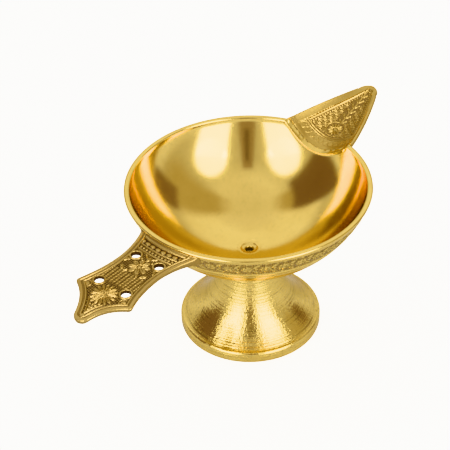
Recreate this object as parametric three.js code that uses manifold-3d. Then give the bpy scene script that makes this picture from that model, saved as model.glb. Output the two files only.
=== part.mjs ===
// A small cast brass oil lamp (diya) with a handle, the kind that is held and waved in prayer:
// a round bowl on a hollow turned foot, a leaf-shaped spout for the wick, and an ornamental plate
// handle opposite. The spout and the handle are brazed to the bowl, and one rivet holds the foot.
// Millimetres, +Z up. The lamp stands on Z = 0, the spout points to +X and the handle to -X, and
// the origin is midway between the two tips, so the turning axis is at X = AXIS_X.
// Inside the functions, x is measured from the turning axis.
import * as THREE from "three";
import { LoftGeometry } from "three/addons/geometries/LoftGeometry.js";
import { mergeVertices } from "three/addons/utils/BufferGeometryUtils.js";
import Module from "manifold-3d";

const wasm = await Module();
wasm.setup();

// ---- driving dimensions ----
const GAP = 0.3; // clearance between touching pieces: braze fills it, or the rivet closes it
const SPOUT_REACH = 72; // spout tip, from the turning axis
const HANDLE_REACH = 82; // handle tip, from the turning axis
const AXIS_X = (HANDLE_REACH - SPOUT_REACH) / 2;

// Bowl: two concentric spheres, whose centre lies above the rim.
const RIM_Z = 58.9;
const RIM_R = 42;
const BOWL_WALL = 1.85;
const BOWL_CENTRE_Z = RIM_Z + 15.25;
const BOWL_OUTER_R = Math.hypot(RIM_R, BOWL_CENTRE_Z - RIM_Z);
const BOWL_INNER_R = BOWL_OUTER_R - BOWL_WALL;
const LIP_ROUND = 0.6;
const BOSS_R = 9.9; // turned seat under the bowl, which lands on the foot
const BOSS_FILLET = 3;

// Foot: a hollow trumpet, open below.
const FOOT_R = 24.9;
const FOOT_TOP_Z = 26.6;
const FOOT_PLATE = 2.3;
const FOOT_WALL = 2;
const FLANGE_H = 4.3; // crease between the flange and the trumpet
const FLANGE_CREASE_R = 23.6;
const FLANGE_ROUND = 1.5;
const TRUMPET_R = 32.8; // radius of the hollow curve, in section
const TRUMPET_START = THREE.MathUtils.degToRad(55); // from the curve's centre down to the crease
const RING_INNER_R = 21.5; // the flat ring that the lamp stands on
const RING_CHAMFER = 0.6;

// Rivet and washer that clamp the bowl to the foot.
const BOSS_Z = FOOT_TOP_Z + GAP;
const SHANK_R = 2.7;
const HEAD_R = 4.2; // countersunk head, flush with the bowl's floor
const HEAD_H = 1.5;
const CENTRE_MARK_R = 3; // lathe centre in the head: a cone with a pilot hole
const CENTRE_MARK_DEPTH = 1.1;
const PILOT_R = 1.3;
const PILOT_DEPTH = 2.6;
const PEEN_R = 4.4;
const PEEN_H = 2.2;
const WASHER_R = 6;
const WASHER_T = 1.2;
const WASHER_TOP_Z = FOOT_TOP_Z - FOOT_PLATE - GAP;
const PEEN_TOP_Z = WASHER_TOP_Z - WASHER_T - GAP;

// Spout: a leaf-shaped trough that rises towards a round nose.
const SPOUT_ROOT_X = 30; // before it is trimmed to the outside of the bowl
const SPOUT_HALF_WIDTH = 14.2; // at SPOUT_WIDTH_X
const SPOUT_WIDTH_X = 40;
const SPOUT_TAPER = 0.25; // half-width lost per millimetre, at first
const SPOUT_BOW = 0.0036; // and how fast that taper grows
const SPOUT_NOSE_R = 3.95;
const SPOUT_NOSE_X = SPOUT_REACH - SPOUT_NOSE_R;
const SPOUT_RISE = 2.5; // tip above the rim
const SPOUT_SKIN = 2;
const SPOUT_BORDER = 1; // flat land along each side
const TROUGH_WALL_X = 36.7; // where the trough's floor meets the bowl's inside
const TROUGH_DEPTH = 6.9; // there, below the rim
const TROUGH_END_X = SPOUT_REACH - 2.9;
const SPOUT_SECTIONS = 18; // sections of the loft along the trough
const NOSE_ARC = { start: 24, end: 84, sections: 5 }; // degrees round the nose that the loft follows

// Handle: a flat casting, thicker at its root, that droops a little towards its tip.
const HANDLE_ROOT_X = 38; // before it is trimmed to the outside of the bowl
const HANDLE_ROOT_HALF = 12.8;
const HANDLE_ROOT_EASE = { x: 41.5, half: 11.4 }; // pulls the flare of the root
const HANDLE_WAIST_EASE_X = 47;
const HANDLE_WAIST = { x: 54.5, half: 8.7 };
const HANDLE_FLARE_X = 62.5; // the waist starts to spread into the barbs about here
const HANDLE_BARB = { x: 70.5, half: 11.7 };
const BARB_ROUND = 0.9;
const HANDLE_HOLLOW = { x: 74.2, half: 5.1 }; // between each barb and the tip
const HANDLE_TIP_HALF = 3;
const HANDLE_T = 1.3;
const HANDLE_TOP_Z = RIM_Z - 1.3;
const HANDLE_ROOT_DEPTH = 2.6;
const DROOP_START_X = 64;
const HANDLE_DROOP = 2.9;
const HOLE_R = 1.6;
const ROOT_HOLES = { x: 50.2, y: 4.9 };
const BARB_HOLES = { x: 66.2, y: 5.65 };

const ROUND_SEGMENTS = 48;
const HOLE_SEGMENTS = 24;

// ---- materials ----
const brass = (color, roughness) => new THREE.MeshStandardMaterial({ color, roughness, metalness: 1 });
const bowlBrass = brass(0xd9b25a, 0.16);
const footBrass = brass(0xd6b05a, 0.2);
const spoutBrass = brass(0xb98d3e, 0.36);
const handleBrass = brass(0xa87b32, 0.4);
const rivetBrass = brass(0xcaa24c, 0.25);
const washerBrass = brass(0xb08a44, 0.45);

// ---- three.js geometry to manifold solid and back ----
function toSolid(geometry) {
  const plain = new THREE.BufferGeometry().copy(geometry);
  plain.deleteAttribute("normal");
  plain.deleteAttribute("uv");
  const merged = mergeVertices(plain, 1e-4);
  const corners = merged.index.array;
  const triVerts = [];
  for (let i = 0; i < corners.length; i += 3) {
    const [a, b, c] = corners.slice(i, i + 3);
    if (a !== b && b !== c && c !== a) triVerts.push(a, b, c);
  }
  const vertProperties = merged.attributes.position.array;
  const mesh = new wasm.Mesh({ numProp: 3, vertProperties, triVerts: new Uint32Array(triVerts) });
  return new wasm.Manifold(mesh);
}

function toMesh(name, solid, material) {
  const { vertProperties, triVerts } = solid.getMesh();
  const geometry = new THREE.BufferGeometry()
    .setAttribute("position", new THREE.BufferAttribute(vertProperties, 3))
    .setIndex(new THREE.BufferAttribute(triVerts, 1));
  const mesh = new THREE.Mesh(geometry, material);
  mesh.name = name;
  return mesh;
}

// A path in (radius, height) with material on its left, turned about Z.
function turned(path, divisions, segments = ROUND_SEGMENTS) {
  return toSolid(new THREE.LatheGeometry(path.getPoints(divisions), segments).rotateX(Math.PI / 2));
}

function ball(radius) {
  const geometry = new THREE.SphereGeometry(radius, 2 * ROUND_SEGMENTS, ROUND_SEGMENTS);
  return toSolid(geometry.rotateX(Math.PI / 2).translate(0, 0, BOWL_CENTRE_Z));
}

// A shape drawn in plan, extruded from z0 to z1.
function fromPlan(shape, z0, z1) {
  const options = { depth: z1 - z0, bevelEnabled: false };
  return toSolid(new THREE.ExtrudeGeometry(shape, options).translate(0, 0, z0));
}

// A shape drawn in side view, as (x, z), extruded to each side of the plane of symmetry.
function fromSide(shape, half) {
  const options = { depth: 2 * half, bevelEnabled: false, curveSegments: 12 };
  return toSolid(new THREE.ExtrudeGeometry(shape, options).translate(0, 0, -half).rotateX(Math.PI / 2));
}

// ---- bowl ----
const sphereZ = (radius, r) => BOWL_CENTRE_Z - Math.sqrt(radius ** 2 - r ** 2);
const sphereR = (radius, z) => Math.sqrt(radius ** 2 - (BOWL_CENTRE_Z - z) ** 2);

function makeBowl() {
  const lipZ = RIM_Z - LIP_ROUND;
  const innerRimR = sphereR(BOWL_INNER_R, RIM_Z);
  const seatTopR = BOSS_R + BOSS_FILLET * 0.8;
  const outerStart = -Math.acos(seatTopR / BOWL_OUTER_R);
  const outerEnd = -Math.asin((BOWL_CENTRE_Z - lipZ) / BOWL_OUTER_R);
  const innerStart = -Math.asin((BOWL_CENTRE_Z - lipZ) / BOWL_INNER_R);
  const innerEnd = -Math.acos((HEAD_R + GAP) / BOWL_INNER_R);
  const path = new THREE.Path()
    .moveTo(BOSS_R, BOSS_Z)
    .quadraticCurveTo(BOSS_R, BOSS_Z + BOSS_FILLET, seatTopR, sphereZ(BOWL_OUTER_R, seatTopR))
    .absarc(0, BOWL_CENTRE_Z, BOWL_OUTER_R, outerStart, outerEnd, false)
    .quadraticCurveTo(RIM_R, RIM_Z, RIM_R - LIP_ROUND, RIM_Z)
    .lineTo(innerRimR + LIP_ROUND, RIM_Z)
    .quadraticCurveTo(innerRimR, RIM_Z, sphereR(BOWL_INNER_R, lipZ), lipZ)
    .absarc(0, BOWL_CENTRE_Z, BOWL_INNER_R, innerStart, innerEnd, true)
    .lineTo(SHANK_R + GAP, sphereZ(BOWL_INNER_R, HEAD_R) - HEAD_H)
    .lineTo(SHANK_R + GAP, BOSS_Z)
    .lineTo(BOSS_R, BOSS_Z);
  return turned(path, 5).subtract(makeTrough());
}

// ---- foot ----
// The trumpet is hollow on both sides, about one centre.
const trumpetCentreR = FLANGE_CREASE_R + TRUMPET_R * Math.cos(TRUMPET_START);
const trumpetCentreZ = FLANGE_H + TRUMPET_R * Math.sin(TRUMPET_START);

function makeFoot() {
  const innerCurveR = TRUMPET_R + FOOT_WALL;
  const plateZ = FOOT_TOP_Z - FOOT_PLATE;
  const outerEnd = Math.PI + Math.asin((trumpetCentreZ - FOOT_TOP_Z) / TRUMPET_R);
  const innerStart = Math.PI + Math.asin((trumpetCentreZ - plateZ) / innerCurveR);
  const innerEnd = Math.PI + Math.acos((trumpetCentreR - RING_INNER_R) / innerCurveR);
  const path = new THREE.Path()
    .moveTo(RING_INNER_R, 0)
    .lineTo(FOOT_R - RING_CHAMFER, 0)
    .lineTo(FOOT_R, RING_CHAMFER)
    .lineTo(FOOT_R, FLANGE_H - FLANGE_ROUND)
    .quadraticCurveTo(FOOT_R, FLANGE_H, FLANGE_CREASE_R, FLANGE_H)
    .absarc(trumpetCentreR, trumpetCentreZ, TRUMPET_R, Math.PI + TRUMPET_START, outerEnd, true)
    .lineTo(SHANK_R + GAP, FOOT_TOP_Z)
    .lineTo(SHANK_R + GAP, plateZ)
    .absarc(trumpetCentreR, trumpetCentreZ, innerCurveR, innerStart, innerEnd, false)
    .lineTo(RING_INNER_R, 0);
  return turned(path, 5);
}

// ---- rivet and washer ----
function makeRivet() {
  const floorZ = sphereZ(BOWL_INNER_R, 0);
  const headZ = sphereZ(BOWL_INNER_R, HEAD_R);
  const peenZ = PEEN_TOP_Z - PEEN_H;
  const path = new THREE.Path()
    .moveTo(0, peenZ)
    .quadraticCurveTo(PEEN_R, peenZ, PEEN_R, PEEN_TOP_Z)
    .lineTo(SHANK_R, PEEN_TOP_Z)
    .lineTo(SHANK_R, headZ - HEAD_H)
    .lineTo(HEAD_R, headZ)
    .lineTo(CENTRE_MARK_R, sphereZ(BOWL_INNER_R, CENTRE_MARK_R))
    .lineTo(PILOT_R, floorZ - CENTRE_MARK_DEPTH)
    .lineTo(PILOT_R, floorZ - PILOT_DEPTH)
    .lineTo(0, floorZ - PILOT_DEPTH);
  return turned(path, 5, HOLE_SEGMENTS);
}

function makeWasher() {
  const path = new THREE.Path()
    .moveTo(SHANK_R + GAP, WASHER_TOP_Z - WASHER_T)
    .lineTo(WASHER_R, WASHER_TOP_Z - WASHER_T)
    .lineTo(WASHER_R, WASHER_TOP_Z)
    .lineTo(SHANK_R + GAP, WASHER_TOP_Z)
    .lineTo(SHANK_R + GAP, WASHER_TOP_Z - WASHER_T);
  return turned(path, 1, HOLE_SEGMENTS);
}

// ---- spout ----
function spoutHalfWidth(x) {
  const t = x - SPOUT_WIDTH_X;
  const side = SPOUT_HALF_WIDTH - SPOUT_TAPER * t - SPOUT_BOW * t ** 2;
  const past = x - SPOUT_NOSE_X;
  return past > 0 ? Math.min(side, Math.sqrt(Math.max(0, SPOUT_NOSE_R ** 2 - past ** 2))) : side;
}

const spoutEdgeZ = (x) => RIM_Z + SPOUT_RISE * (Math.max(0, x - RIM_R) / (SPOUT_REACH - RIM_R)) ** 1.15;

function troughFloorZ(x) {
  const t = Math.max(0, x - TROUGH_WALL_X) / (TROUGH_END_X - TROUGH_WALL_X);
  const climb = TROUGH_DEPTH + spoutEdgeZ(TROUGH_END_X) - RIM_Z;
  return RIM_Z - TROUGH_DEPTH + climb * t ** 1.3;
}

// A bar along X whose sections are parabolas below, with a flat top that stands rise above the edges.
function keel(stations, halfWidth, floorZ, rise) {
  const sections = stations.map((x) => {
    const edge = spoutEdgeZ(x);
    const points = [];
    for (let s = -1; s <= 1.001; s += 1 / 8) {
      points.push(new THREE.Vector3(x, halfWidth(x) * s, edge - (edge - floorZ(x)) * (1 - s ** 2)));
    }
    if (rise > 0) {
      points.push(new THREE.Vector3(x, halfWidth(x), edge + rise));
      points.push(new THREE.Vector3(x, -halfWidth(x), edge + rise));
    }
    return points;
  });
  return toSolid(new LoftGeometry(sections, { capStart: true, capEnd: true }));
}

function span(from, to, steps) {
  return Array.from({ length: steps + 1 }, (_, i) => from + ((to - from) * i) / steps);
}

// The trough runs from inside the bowl, through a notch in its wall, along the spout.
function makeTrough() {
  const halfWidth = (x) => spoutHalfWidth(x) - SPOUT_BORDER;
  return keel(span(SPOUT_ROOT_X, TROUGH_END_X, SPOUT_SECTIONS), halfWidth, troughFloorZ, SPOUT_RISE);
}

// The spout butts against the outside of the bowl.
function makeSpout() {
  const nose = span(NOSE_ARC.start, NOSE_ARC.end, NOSE_ARC.sections).map(
    (angle) => SPOUT_NOSE_X + SPOUT_NOSE_R * Math.sin(THREE.MathUtils.degToRad(angle)),
  );
  const trough = span(SPOUT_ROOT_X, TROUGH_END_X, SPOUT_SECTIONS);
  const stations = [...trough, ...nose, SPOUT_REACH - 0.001];
  const blank = keel(stations, spoutHalfWidth, (x) => troughFloorZ(x) - SPOUT_SKIN, 0);
  return blank.subtract(makeTrough()).subtract(ball(BOWL_OUTER_R + GAP));
}

// ---- handle ----
// Half of the outline, from the root to the tip, then mirrored back.
function handlePlan() {
  const [ease, waist, barb] = [HANDLE_ROOT_EASE, HANDLE_WAIST, HANDLE_BARB];
  const half = new THREE.Path()
    .moveTo(HANDLE_ROOT_X, HANDLE_ROOT_HALF)
    .bezierCurveTo(ease.x, ease.half, HANDLE_WAIST_EASE_X, waist.half, waist.x, waist.half)
    .quadraticCurveTo(HANDLE_FLARE_X, waist.half, barb.x - BARB_ROUND, barb.half - BARB_ROUND / 4)
    .quadraticCurveTo(barb.x, barb.half, barb.x + BARB_ROUND / 2, barb.half - BARB_ROUND)
    .quadraticCurveTo(HANDLE_HOLLOW.x, HANDLE_HOLLOW.half, HANDLE_REACH - 2, HANDLE_TIP_HALF)
    .quadraticCurveTo(HANDLE_REACH, HANDLE_TIP_HALF * 0.8, HANDLE_REACH, 0)
    .getPoints(8);
  const mirrored = half.slice(0, -1).map((p) => new THREE.Vector2(p.x, -p.y));
  return new THREE.Shape([...mirrored, ...half.reverse()]);
}

function handleSide() {
  const tipZ = HANDLE_TOP_Z - HANDLE_DROOP;
  const droopMidX = (DROOP_START_X + HANDLE_REACH) / 2;
  const underside = HANDLE_TOP_Z - HANDLE_T;
  return new THREE.Shape()
    .moveTo(HANDLE_ROOT_X, HANDLE_TOP_Z - HANDLE_ROOT_DEPTH)
    .lineTo(RIM_R - 1, HANDLE_TOP_Z - HANDLE_ROOT_DEPTH)
    .quadraticCurveTo(RIM_R + 3, underside, HANDLE_WAIST.x, underside)
    .lineTo(DROOP_START_X, underside)
    .quadraticCurveTo(droopMidX, underside, HANDLE_REACH, tipZ - HANDLE_T)
    .lineTo(HANDLE_REACH, tipZ)
    .quadraticCurveTo(droopMidX, HANDLE_TOP_Z, DROOP_START_X, HANDLE_TOP_Z)
    .lineTo(HANDLE_ROOT_X, HANDLE_TOP_Z);
}

function handleHoles() {
  const bores = [];
  for (const { x, y } of [ROOT_HOLES, BARB_HOLES]) {
    for (const side of [-1, 1]) {
      const bore = new THREE.CylinderGeometry(HOLE_R, HOLE_R, 20, HOLE_SEGMENTS);
      bores.push(toSolid(bore.rotateX(Math.PI / 2).translate(x, side * y, HANDLE_TOP_Z)));
    }
  }
  return bores.reduce((all, bore) => all.add(bore));
}

// Drawn towards +X like the spout, then turned to point to -X.
function makeHandle() {
  const plate = fromPlan(handlePlan(), BOWL_CENTRE_Z - BOWL_OUTER_R, BOWL_CENTRE_Z);
  const side = fromSide(handleSide(), HANDLE_ROOT_HALF + 2);
  return plate.intersect(side).subtract(handleHoles()).subtract(ball(BOWL_OUTER_R + GAP));
}

// ---- assembly ----
const lamp = new THREE.Group();
lamp.position.x = AXIS_X;

const handle = toMesh("handle", makeHandle(), handleBrass);
handle.rotation.z = Math.PI;

lamp.add(
  toMesh("bowl", makeBowl(), bowlBrass),
  toMesh("spout", makeSpout(), spoutBrass),
  handle,
  toMesh("foot", makeFoot(), footBrass),
  toMesh("stem_rivet", makeRivet(), rivetBrass),
  toMesh("washer", makeWasher(), washerBrass),
);

export default lamp;
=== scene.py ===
"""Cast brass diya lamp: turned bowl and foot, engraved handle and spout, on a pale studio floor."""

import math

import bmesh
import bpy
import numpy as np
from mathutils import Matrix, Vector


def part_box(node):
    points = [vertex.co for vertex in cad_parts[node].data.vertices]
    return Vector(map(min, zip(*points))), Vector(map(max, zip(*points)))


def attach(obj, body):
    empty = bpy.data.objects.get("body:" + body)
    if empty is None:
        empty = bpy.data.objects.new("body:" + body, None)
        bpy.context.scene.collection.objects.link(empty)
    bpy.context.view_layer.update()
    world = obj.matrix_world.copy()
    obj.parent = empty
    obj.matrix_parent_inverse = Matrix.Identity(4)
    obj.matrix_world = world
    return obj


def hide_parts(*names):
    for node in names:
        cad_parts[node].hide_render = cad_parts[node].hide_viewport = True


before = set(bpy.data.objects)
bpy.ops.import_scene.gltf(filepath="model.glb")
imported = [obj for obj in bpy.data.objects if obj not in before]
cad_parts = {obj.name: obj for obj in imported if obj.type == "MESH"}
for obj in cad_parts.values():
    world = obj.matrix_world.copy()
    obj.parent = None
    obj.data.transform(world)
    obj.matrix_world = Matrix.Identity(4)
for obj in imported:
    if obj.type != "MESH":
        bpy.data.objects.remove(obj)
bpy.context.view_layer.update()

# ---- measures in millimetres, from the turning axis and the floor ----
MM = 0.001
foot_low, foot_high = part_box("foot")
bowl_low, bowl_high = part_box("bowl")
AXIS = Vector(((foot_low.x + foot_high.x) / 2, (foot_low.y + foot_high.y) / 2, foot_low.z))
RIM_Z = (bowl_high.z - foot_low.z) / MM
SPOUT_REACH = (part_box("spout")[1].x - AXIS.x) / MM
HANDLE_REACH = (AXIS.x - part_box("handle")[0].x) / MM

SHARP_ANGLE = 38  # degrees between faces, above which an edge is shaded sharp
MERGE_DISTANCE = 1e-7  # metres
DRILL_SEGMENTS = 48
DRILL_LENGTH = 14.0
ROOT_SINK = 0.02  # the castings' roots go this far into the bowl

# Bowl
RIM_R = 42.0
BOWL_WALL = 1.85
BOWL_CENTRE_Z = RIM_Z + 15.25
BOWL_OUTER_R = math.hypot(RIM_R, BOWL_CENTRE_Z - RIM_Z)
BOWL_INNER_R = BOWL_OUTER_R - BOWL_WALL
LIP_ROUND = 0.6
NOTCH_ROUND = 0.2
BOSS_R = 9.9
BOSS_FILLET = 3.0
BOSS_Z = 26.75
BOWL_SEGMENTS = 720
BAND_TOP = 1.3  # the ornament band, below the rim
BAND_FOOT = 9.4
BAND_DEPTH = 0.34
BAND_MOTIFS = 42

# Foot
FOOT_R = 24.9
FOOT_TOP_Z = 26.6
FOOT_PLATE = 2.3
FOOT_WALL = 2.0
FLANGE_H = 4.3
FLANGE_CREASE_R = 23.6
TRUMPET_R = 32.8
TRUMPET_START = math.radians(55)
TRUMPET_CENTRE_R = FLANGE_CREASE_R + TRUMPET_R * math.cos(TRUMPET_START)
TRUMPET_CENTRE_Z = FLANGE_H + TRUMPET_R * math.sin(TRUMPET_START)
RING_INNER_R = 21.5
FOOT_SEGMENTS = 384

# Rivet and washer
SHANK_R = 2.7
HEAD_R = 4.2
HEAD_H = 1.5
SEAM = 0.015
CENTRE_MARK_R = 3.0
CENTRE_MARK_DEPTH = 1.1
PILOT_R = 1.3
PILOT_DEPTH = 2.6
PEEN_R = 4.4
PEEN_H = 2.2
WASHER_R = 6.0
WASHER_T = 1.2
WASHER_TOP_Z = 24.2
SHANK_SEGMENTS = 96

SIDE_SHADE_LEVEL = 0.5  # painted shade: how bright the castings' sides and undersides are left, from 0 (the patina colour) to 1 (clean metal)

# Spout
SPOUT_HALF_WIDTH = 14.2
SPOUT_WIDTH_X = 40.0
SPOUT_TAPER = 0.25
SPOUT_BOW = 0.0036
SPOUT_NOSE_R = 3.95
SPOUT_NOSE_X = SPOUT_REACH - SPOUT_NOSE_R
SPOUT_RISE = 2.5
SPOUT_SKIN = 2.0
SPOUT_BORDER = 1.0
SPOUT_EDGE = 0.7
TROUGH_WALL_X = 36.7
TROUGH_DEPTH = 6.9
TROUGH_END_X = SPOUT_REACH - 2.9
SPOUT_DEPTH = 0.28
SPOUT_START = 39.0  # first section, before it is pulled back onto the bowl
SPOUT_EASE = 12.0  # length over which the sections are pulled back
SPOUT_SIDE = 0.25  # least height of the side
SPOUT_ACROSS = 241
# Its ornament, measured along the spout from its root
DIAMOND = 3.1
ROOT_BAND_END = 4.7
FIELD_START = 6.8
LATTICE_START = 7.2
ROSETTE_AT = 10.2
STEM_START = 13.5

# Handle: u runs from the turning axis along the handle, v across it
HANDLE_ROOT = (38.0, 12.8)
HANDLE_ROOT_EASE = (41.5, 11.4)
HANDLE_WAIST_EASE_U = 47.0
HANDLE_WAIST = (54.5, 8.7)
HANDLE_FLARE_U = 62.5
HANDLE_BARB = (70.5, 11.7)
BARB_ROUND = 0.9
HANDLE_HOLLOW = (74.2, 5.1)
HANDLE_TIP_HALF = 3.0
HANDLE_T = 1.3
HANDLE_TOP_Z = RIM_Z - 1.3
HANDLE_ROOT_DEPTH = 2.6
DROOP_START = 64.0
HANDLE_DROOP = 2.9
HANDLE_DEPTH = 0.4
HANDLE_EDGE = 0.4
HOLE_R = 1.6
BRAZE_REACH = 1.5  # fillet along the bowl
BRAZE_RISE = 0.8
HOLES = [(50.2, 4.9), (66.2, 5.65)]
HANDLE_START = 39.9  # first section, before it is pulled back onto the bowl
HANDLE_EASE = 9.0
BLOCK = 4000  # points measured at a time
# Its ornament
ROOT_ROWS_END = 5.8  # beyond the rim
BORDER_WIDTH = 2.5
BLOSSOM_AT = (54.0, 0.1)
FLUTES_AT = 61.4
DAISY_AT = (70.2, 0.2)
SIDE_BOSS = (69.5, 7.75)
TIP_START = 73.6


# ---- profiles ----
def arc(radius, start, end, count, centre=(0.0, 0.0)):
    turn = np.linspace(start, end, count)
    return np.stack([centre[0] + radius * np.cos(turn), centre[1] + radius * np.sin(turn)], 1)


def bezier(points, count):
    t = np.linspace(0, 1, count)[:, None]
    degree = len(points) - 1
    total = 0
    for i, point in enumerate(points):
        total = total + math.comb(degree, i) * t**i * (1 - t) ** (degree - i) * np.array(point)
    return total


def line(start, end, count):
    return np.linspace(start, end, count)


def joined(*parts):
    """One path from several, without the points that repeat."""
    path = np.concatenate([np.atleast_2d(p) for p in parts])
    keep = np.r_[True, np.hypot(*np.diff(path, axis=0).T) > 1e-6]
    return path[keep]


def sphere_z(radius, r):
    return BOWL_CENTRE_Z - np.sqrt(radius**2 - r**2)


def sphere_r(radius, z):
    return np.sqrt(np.maximum(radius**2 - (BOWL_CENTRE_Z - z) ** 2, 0))


# ---- relief: 0 is the recessed ground, 1 the polished crest ----
def bump(distance, half_width):
    return 0.5 + 0.5 * np.cos(np.pi * np.clip(np.abs(distance) / half_width, 0, 1))


def plateau(distance, half_width, shoulder=0.25):
    return np.clip((half_width - np.abs(distance)) / shoulder + 0.5, 0, 1)


def dome(distance, radius):
    return np.sqrt(np.clip(1 - (distance / radius) ** 2, 0, 1))


def beads(along, across, pitch, length, width):
    """A row of oval beads along a line."""
    cell = (along / pitch - np.floor(along / pitch) - 0.5) * pitch
    return dome(np.hypot(cell / length, across / width), 1)


def flower(x, y, petals, radius, heart, turn=0.0):
    """Rounded petals with a vein in each, round a domed heart."""
    r = np.hypot(x, y)
    angle = petals * (np.arctan2(y, x) + turn) / 2
    lobe = np.abs(np.cos(angle))
    tip = radius * (0.42 + 0.58 * lobe**0.7)
    petal = np.clip((tip - r) / (0.16 * radius), 0, 1) * np.clip(lobe * 3.2 - 0.5, 0, 1)
    vein = 1 - 0.55 * np.clip((lobe - 0.93) / 0.07, 0, 1) * (r < 0.75 * radius)
    petal = petal * vein * (r > heart * 1.25)
    return np.maximum(petal, dome(r, heart))


def leaf(x, y, turn, length, width):
    """A pointed leaf with a middle vein, centred on x = y = 0."""
    c, s = math.cos(turn), math.sin(turn)
    along, across = x * c + y * s, y * c - x * s
    half = width * np.clip(1 - (along / length) ** 2, 0, 1)
    body = np.clip((half - np.abs(across)) / (0.35 * width), 0, 1)
    return body * (1 - 0.6 * bump(across, 0.22 * width))


def stipple(x, y, pitch):
    """A matted ground of small punch marks."""
    row = np.floor(y / pitch)
    wobble = np.sin(row * 12.99) * 0.5
    cell_x = (x / pitch + wobble) % 1 - 0.5
    cell_y = (y / pitch) % 1 - 0.5
    return dome(np.hypot(cell_x, cell_y), 0.42)


def layered(*heights):
    top = heights[0]
    for height in heights[1:]:
        top = np.maximum(top, height)
    return np.clip(top, 0, 1)


# ---- meshes ----
def grid_faces(rows, cols, wrap_rows=False, wrap_cols=False):
    r = np.arange(rows if wrap_rows else rows - 1)
    c = np.arange(cols if wrap_cols else cols - 1)
    r, c = (a.ravel() for a in np.meshgrid(r, c, indexing="ij"))
    r_next, c_next = (r + 1) % rows, (c + 1) % cols
    return np.stack([r * cols + c, r_next * cols + c, r_next * cols + c_next, r * cols + c_next], 1)


def make_piece(name, node, points, faces, material, relief=None):
    """A closed smooth-shaded mesh that stands for a CAD node. Points are in millimetres from the axis."""
    mesh = bpy.data.meshes.new(name)
    placed = points.reshape(-1, 3) * MM + np.array(AXIS)
    mesh.from_pydata(placed.tolist(), [], faces.tolist())
    level = np.ones(len(placed)) if relief is None else relief.ravel()
    mesh.attributes.new("relief", "FLOAT", "POINT").data.foreach_set("value", level.astype(np.float32))
    tidy_mesh(mesh)
    mesh.materials.append(material)
    piece = bpy.data.objects.new(name, mesh)
    bpy.context.scene.collection.objects.link(piece)
    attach(piece, "root")
    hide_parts(node)
    return piece


def tidy_mesh(mesh):
    """Merges repeated points, turns the faces outward and shades the mesh smooth."""
    bm = bmesh.new()
    bm.from_mesh(mesh)
    bmesh.ops.remove_doubles(bm, verts=bm.verts, dist=MERGE_DISTANCE)
    bmesh.ops.dissolve_degenerate(bm, edges=bm.edges, dist=MERGE_DISTANCE / 10)
    bmesh.ops.recalc_face_normals(bm, faces=bm.faces)
    bm.to_mesh(mesh)
    bm.free()
    mesh.shade_smooth()
    mesh.set_sharp_from_angle(angle=math.radians(SHARP_ANGLE))


def lathe(path, segments, closed):
    """Points and faces of a path in (radius, height) turned about the axis."""
    turn = np.linspace(0, 2 * np.pi, segments, endpoint=False)
    r, z = path[:, :1], path[:, 1:]
    points = np.stack([r * np.cos(turn), r * np.sin(turn), z + 0 * turn], 2)
    return points, grid_faces(len(path), segments, closed, True)


def drill(piece, places, radius, z):
    """Cuts round vertical holes, given as (x, y) in millimetres from the axis."""
    cutter_mesh = bpy.data.meshes.new("cutter")
    bm = bmesh.new()
    for x, y in places:
        bmesh.ops.create_cone(
            bm,
            cap_ends=True,
            segments=DRILL_SEGMENTS,
            radius1=radius * MM,
            radius2=radius * MM,
            depth=DRILL_LENGTH * MM,
            matrix=Matrix.Translation(AXIS + Vector((x, y, z)) * MM),
        )
    bm.to_mesh(cutter_mesh)
    bm.free()
    level = cutter_mesh.attributes.new("relief", "FLOAT", "POINT")
    level.data.foreach_set("value", np.ones(len(cutter_mesh.vertices), np.float32))
    cutter = bpy.data.objects.new("cutter", cutter_mesh)
    bpy.context.scene.collection.objects.link(cutter)
    boolean = piece.modifiers.new("holes", "BOOLEAN")
    boolean.operation = "DIFFERENCE"
    boolean.solver = "EXACT"
    boolean.object = cutter
    bpy.context.view_layer.update()
    evaluated = piece.evaluated_get(bpy.context.evaluated_depsgraph_get())
    cut = bpy.data.meshes.new_from_object(evaluated)
    piece.modifiers.clear()
    piece.data = cut
    bpy.data.objects.remove(cutter)
    cut.set_sharp_from_angle(angle=math.radians(SHARP_ANGLE))


# ---- spout shape, shared by the bowl's notch ----
def spout_half_width(x):
    t = x - SPOUT_WIDTH_X
    side = SPOUT_HALF_WIDTH - SPOUT_TAPER * t - SPOUT_BOW * t**2
    nose = np.sqrt(np.maximum(SPOUT_NOSE_R**2 - (x - SPOUT_NOSE_X) ** 2, 0))
    return np.where(x > SPOUT_NOSE_X, np.minimum(side, nose), side)


def spout_edge_z(x):
    return RIM_Z + SPOUT_RISE * (np.maximum(0, x - RIM_R) / (SPOUT_REACH - RIM_R)) ** 1.15


def trough_floor_z(x):
    t = np.clip((x - TROUGH_WALL_X) / (TROUGH_END_X - TROUGH_WALL_X), 0, 1)
    climb = TROUGH_DEPTH + spout_edge_z(TROUGH_END_X) - RIM_Z
    return RIM_Z - TROUGH_DEPTH + climb * t**1.3


def trough_z(x, y):
    edge = spout_edge_z(x)
    half = np.maximum(spout_half_width(x) - SPOUT_BORDER, 1e-3)
    share = np.clip(1 - (y / half) ** 2, 0, 1)
    return edge - (edge - np.minimum(trough_floor_z(x), edge)) * share


# ---- bowl ----
def notch_top(radius, turn):
    """Height of the wall's top at each angle: the rim, or the trough where it cuts through."""
    z = np.full_like(turn, RIM_Z)
    for _ in range(12):
        r = sphere_r(radius, z)
        x, y = r * np.cos(turn), r * np.sin(turn)
        z = np.where(x > 0, np.minimum(RIM_Z, trough_z(x, y)), RIM_Z)
    return z


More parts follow.
